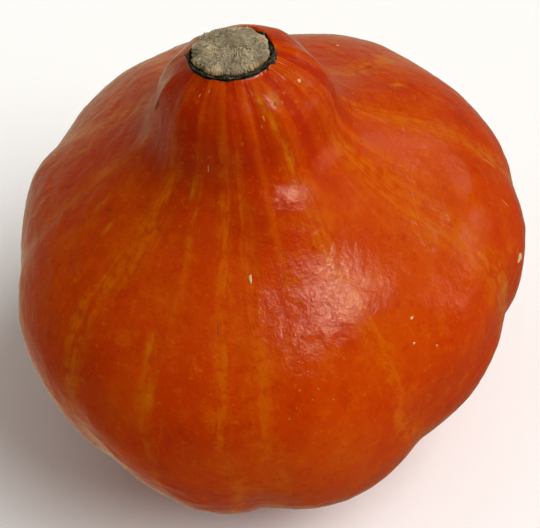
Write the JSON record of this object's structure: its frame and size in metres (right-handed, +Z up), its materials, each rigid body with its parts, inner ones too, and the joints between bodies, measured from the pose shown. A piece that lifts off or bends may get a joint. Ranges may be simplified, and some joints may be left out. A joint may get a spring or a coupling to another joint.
{
  "type": "kabocha squash",
  "caption": "Whole orange-red kabocha squash: a squat lobed fruit with a short leaning neck, a corky stem end in a dark dried collar, and a flat foot it stands on.",
  "frame": {"origin": "middle of the fruit's box, on the surface that it stands on", "axes": "+Z up, front at -Y, +X to the right; the fruit is longest along Y, and its neck leans to -X"},
  "size_m": [0.1748, 0.1852, 0.1758],
  "materials": {
    "rind": "gloss",
    "cork": "matte",
    "collar": "satin"
  },
  "bodies": {
    "root": {"fruit": "rind", "stem_cork": "cork", "stem_collar": "collar"}
  },
  "joints": []
}
